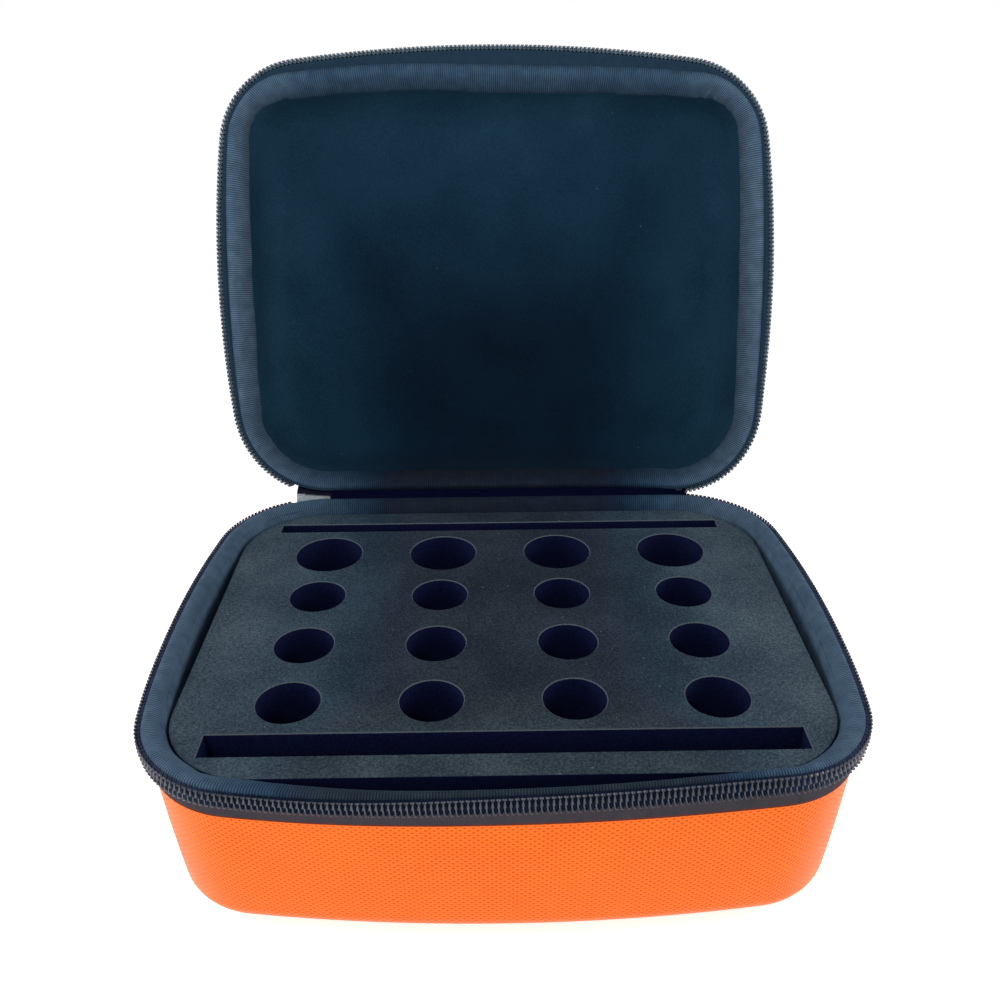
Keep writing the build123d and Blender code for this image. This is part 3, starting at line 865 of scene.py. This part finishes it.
strip_slopes = {half: tan(drafts[half]) for half in drafts}
base_run = [(strip_out - depth * strip_slopes["base"], depth) for depth in (strip_reach, 9 * mm, 4 * mm, 0)]
base_run.append((strip_out, -1.6 * mm))
lid_run = [
    (strip_out - depth * strip_slopes["lid"], depth) for depth in (4.4 * mm, 7 * mm, 10 * mm, strip_reach)
]
strip = cross_hinge(
    "hinge_webbing_strip", strip_cloth, strip_left, strip_right, base_run, lid_run, strip_thickness, 0.4 * mm
)
belongs(strip, None, "hinge_cloth", "hinge_strip")
bend_start = hinge_line + Vector((0, -0.3, -3)) * mm
bend_end = hinge_line + Vector((0, 2.2, -0.5)) * mm
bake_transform(strip, "base", "lid", start=bend_start, end=bend_end)

# Hinge facing. A strip of dark lining cloth glued in front of the webbing, so that only
# cloth shows between the two rims when the case is open.
facing_thickness = 0.5 * mm
facing_end = back_x - 0.8 * mm
facing_right = coil_right + 2 * mm
facing = cross_hinge(
    "hinge_cloth_facing",
    dark_cloth,
    -facing_end,
    facing_right,
    [(-2.4 * mm, 2.6 * mm), (0, 2.2 * mm), (0.7 * mm, 1.2 * mm), (0.75 * mm, -1.1 * mm)],
    [(0.2 * mm, 2.9 * mm), (-0.6 * mm, 2.6 * mm), (-2 * mm, 3.3 * mm), (-4.2 * mm, 5.2 * mm)],
    facing_thickness,
    0.2 * mm,
)
belongs(facing, None, "hinge_cloth", "hinge_facing")
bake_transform(facing, "base", "lid", start=bend_start, end=bend_end)

# Foam. A plain pad lies on the floor of the base. The insert on it is one block of dark
# closed-cell foam, knife-cut with sixteen round wells and two long slots.
foam_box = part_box("foam_insert")
pad_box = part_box("foam_base_pad")
front_foam_radius = 33 * mm
back_foam_radius = 35 * mm
worn_edge = 0.35 * mm
well_pitch = 50 * mm
foam, tree = new_finish("cut_foam", paint(56, 66, 76), 0.93, Specular_IOR_Level=0.1)
fine = grain(tree, 0.8 * mm, 4)
broad = grain(tree, 30 * mm, 4, 2)
mixed = sums(tree, "ADD", sums(tree, "MULTIPLY", fine, 0.65), sums(tree, "MULTIPLY", broad, 0.35))
foam_colour = ramp(
    tree, mixed, (0.36, paint(40, 54, 66)), (0.5, paint(62, 76, 88)), (0.64, paint(86, 101, 111))
)
# Painted shade: the foam is painted darker and bluer in the middle of the case than at its sides and front;
# the dust specks are real.
foam_shaded = shaded(tree, foam_colour, painted_shade(tree, 0.37, near=0.68))
finish(tree, dusted(tree, foam_shaded, paint(150, 160, 165), 3.5 * mm, 0.09, 0.88, 0.35), fine, 0.07 * mm)
# Painted highlight: the rounded cut edges at the top of the foam are painted lighter than the foam, for the
# light they catch.
cut_edge_highlight, tree = new_finish("cut_edge_highlight", paint(76, 86, 94), 0.9, Specular_IOR_Level=0.15)
edge_grain = grain(tree, 0.6 * mm, 3)
finish(
    tree, ramp(tree, edge_grain, (0.3, paint(64, 74, 82)), (0.7, paint(88, 98, 106))), edge_grain, 0.06 * mm
)
# Painted shade: the walls of the wells and slots and the sides of the block are painted near-black navy, for
# the shade in them; the foam is the same throughout.
shaded_cut_wall, tree = new_finish("shaded_cut_wall", paint(16, 22, 54), 0.95, Specular_IOR_Level=0.05)
wall_grain = grain(tree, 0.8 * mm, 3)
finish(
    tree, ramp(tree, wall_grain, (0.3, paint(11, 16, 46)), (0.7, paint(21, 28, 64))), wall_grain, 0.1 * mm
)


def foam_block(low, high):
    """A block of foam with round upright corners, drawn in towards its foot like the case."""
    bm = bmesh.new()
    bmesh.ops.create_cube(bm, size=1)
    middle = Vector((0, (low.y + high.y) / 2, 0))
    bmesh.ops.scale(bm, vec=(high.x - low.x, high.y - low.y, 1), verts=bm.verts)
    bmesh.ops.translate(bm, vec=middle + Vector((0, 0, 0.5)), verts=bm.verts)
    for behind, radius in ((True, back_foam_radius), (False, front_foam_radius)):
        upright = [
            edge
            for edge in bm.edges
            if abs(edge.verts[0].co.z - edge.verts[1].co.z) > 0.5
            and (edge.verts[0].co.y > middle.y) == behind
            and abs(edge.verts[0].co.x) > 0.9 * high.x
        ]
        bmesh.ops.bevel(
            bm, geom=upright, offset=radius, segments=20, profile=0.5, affect="EDGES", material=-1
        )
    for vert in bm.verts:
        at_top = vert.co.z > 0.5
        vert.co.z = high.z if at_top else low.z
        if not at_top:
            drawn = 1 - (high.z - low.z) * tan(drafts["base"]) / high.x
            vert.co.x *= drawn
            vert.co.y = middle.y + (vert.co.y - middle.y) * drawn
    upper = [edge for edge in bm.edges if all(vert.co.z == high.z for vert in edge.verts)]
    bmesh.ops.bevel(
        bm, geom=upper, offset=worn_edge, segments=2, profile=0.5, affect="EDGES", material=-1
    )
    return bm


foam_pad = make_piece(foam_block(*pad_box), "floor_pad", foam)
belongs(foam_pad, "base", "foam", "foam_base_pad")

# Rows of wells and slots in millimetres: how far back each lies, and its radius or width.
wells = [(53.85, 14.35), (19.75, 11.3), (-14.35, 11.3), (-48.45, 11.3)]
slots = [(77.55, 7.0), (-70.45, 10.8)]
slot_length = 2 * (foam_box[1].x - 13.7 * mm)
block = foam_block(*foam_box)
block.normal_update()
for face in block.faces:
    # The block's sides take the painted-shade wall finish.
    face.material_index = 0 if face.normal.z > 0.5 else 2
insert = make_piece(block, "well_insert", foam)
insert.data.materials.append(cut_edge_highlight)
insert.data.materials.append(shaded_cut_wall)
insert.data.shade_flat()
cutters = bmesh.new()
blade_length = 0.2
mouth = foam_box[1].z - worn_edge


def open_mouth(blade, middle, wide, deep):
    """Widens a blade to the worn edge of its cut, and lets it reach out above the foam."""
    cap = [face for face in blade if all(abs(vert.co.z - mouth) < 0.01 * mm for vert in face.verts)]
    for face in set(blade) - set(cap):
        face.material_index = 2
    for rise, spread, part in ((worn_edge, worn_edge, 1), (5 * mm, 0, 2)):
        drawn = set(cutters.faces)
        made = bmesh.ops.extrude_face_region(cutters, geom=cap)["geom"]
        bmesh.ops.delete(cutters, geom=cap, context="FACES_ONLY")
        verts = [item for item in made if isinstance(item, bmesh.types.BMVert)]
        cap = [item for item in made if isinstance(item, bmesh.types.BMFace)]
        for face in set(cutters.faces) - drawn:
            face.material_index = part
        bmesh.ops.translate(cutters, vec=(0, 0, rise), verts=verts)
        size = (1 + spread / wide, 1 + spread / deep, 1)
        bmesh.ops.scale(cutters, vec=size, space=Matrix.Translation(-middle), verts=verts)


for y, radius in wells:
    for column in range(4):
        before = set(cutters.faces)
        hole = bmesh.ops.create_cone(
            cutters, cap_ends=True, segments=64, radius1=radius * mm, radius2=radius * mm, depth=blade_length
        )["verts"]
        middle = Vector(((column - 1.5) * well_pitch, y * mm, mouth - blade_length / 2))
        bmesh.ops.translate(cutters, vec=middle, verts=hole)
        open_mouth(set(cutters.faces) - before, middle, radius * mm, radius * mm)
for y, width in slots:
    before = set(cutters.faces)
    hole = bmesh.ops.create_cube(cutters, size=1)["verts"]
    bmesh.ops.scale(cutters, vec=(slot_length, width * mm, blade_length), verts=hole)
    middle = Vector((0, y * mm, mouth - blade_length / 2))
    bmesh.ops.translate(cutters, vec=middle, verts=hole)
    open_mouth(set(cutters.faces) - before, middle, slot_length / 2, width * mm / 2)
bmesh.ops.recalc_face_normals(cutters, faces=cutters.faces)
cutter_mesh = bpy.data.meshes.new("cutters")
cutters.to_mesh(cutter_mesh)
cutters.free()
cutter = bpy.data.objects.new("cutters", cutter_mesh)
bpy.context.scene.collection.objects.link(cutter)
for finish_part in (foam, cut_edge_highlight, shaded_cut_wall):
    cutter_mesh.materials.append(finish_part)
cut = insert.modifiers.new("wells", "BOOLEAN")
cut.object = cutter
cut.operation = "DIFFERENCE"
cut.solver = "EXACT"
bpy.context.view_layer.update()
cut_mesh = bpy.data.meshes.new_from_object(insert.evaluated_get(bpy.context.evaluated_depsgraph_get()))
insert.modifiers.clear()
insert.data = cut_mesh
bpy.data.objects.remove(cutter)
belongs(insert, "insert", "foam", "foam_insert")

# Floor, light and camera. A plain pale floor, a broad soft light from above and in front,
# and a camera where the photograph was taken from.
floor_paint, tree = new_finish(
    "pale_floor", paint(246, 246, 246), 0.8, Emission_Color=(1, 1, 1, 1), Emission_Strength=0.62
)
finish(tree, ramp(tree, grain(tree, 0.3), (0.3, paint(244, 244, 244)), (0.7, paint(248, 248, 248))))
bm = bmesh.new()
bmesh.ops.create_grid(bm, x_segments=1, y_segments=1, size=12)
floor = make_piece(bm, "floor", floor_paint)

world = bpy.data.worlds.new("studio")
bpy.context.scene.world = world
world.use_nodes = True
tree = world.node_tree
rise = wire(tree, "SeparateXYZ", wire(tree, "TexCoord").outputs["Generated"]).outputs["Z"]
glow = wire(tree, "MapRange", rise, 0, 0.8, 0.95, 0.3)
seen = wire(tree, "LightPath").outputs["Is Camera Ray"]
studio_light = tree.nodes["Background"]
studio_light.inputs["Color"].default_value = (1, 1, 1, 1)
feed(tree, studio_light.inputs["Strength"], sums(tree, "MAXIMUM", glow, seen))


def soft_light(name, place, target, size, power):
    """A square soft light that faces a point."""
    light = bpy.data.lights.new(name, "AREA")
    light.energy = power
    light.size = size
    lamp = bpy.data.objects.new(name, light)
    lamp.location = place
    lamp.rotation_euler = (Vector(target) - Vector(place)).to_track_quat("-Z", "Y").to_euler()
    bpy.context.scene.collection.objects.link(lamp)


middle = (0, 0, 0.08)
soft_light("left_softbox", (-0.85, 0.05, 0.5), middle, 0.6, 4)
soft_light("right_softbox", (0.85, 0.05, 0.5), middle, 0.6, 4)
soft_light("key", (-0.35, -0.9, 0.9), middle, 0.3, 3)
bpy.context.scene.view_settings.view_transform = "Standard"

focal_pixels = 992
picture_pixels = 1000
camera_yaw = radians(-0.4)
camera_pitch = radians(27.105)
camera_roll = radians(0.558)
camera = bpy.data.cameras.new("camera")
camera.sensor_width = 36
camera.lens = focal_pixels / picture_pixels * camera.sensor_width
camera.clip_start = 0.01
viewer = bpy.data.objects.new("camera", camera)
bpy.context.scene.collection.objects.link(viewer)
turn = Matrix.Rotation(camera_yaw, 3, "Z")
forward = turn @ Vector((0, cos(camera_pitch), -sin(camera_pitch)))
level = turn @ Vector((1, 0, 0))
down = forward.cross(level)
right = level * cos(camera_roll) + down * sin(camera_roll)
up = level * sin(camera_roll) - down * cos(camera_roll)
viewer.matrix_world = Matrix.Translation((-0.0024, -0.3247, 0.28435)) @ Matrix(
    (right, up, -forward)
).transposed().to_4x4()
bpy.context.scene.camera = viewer
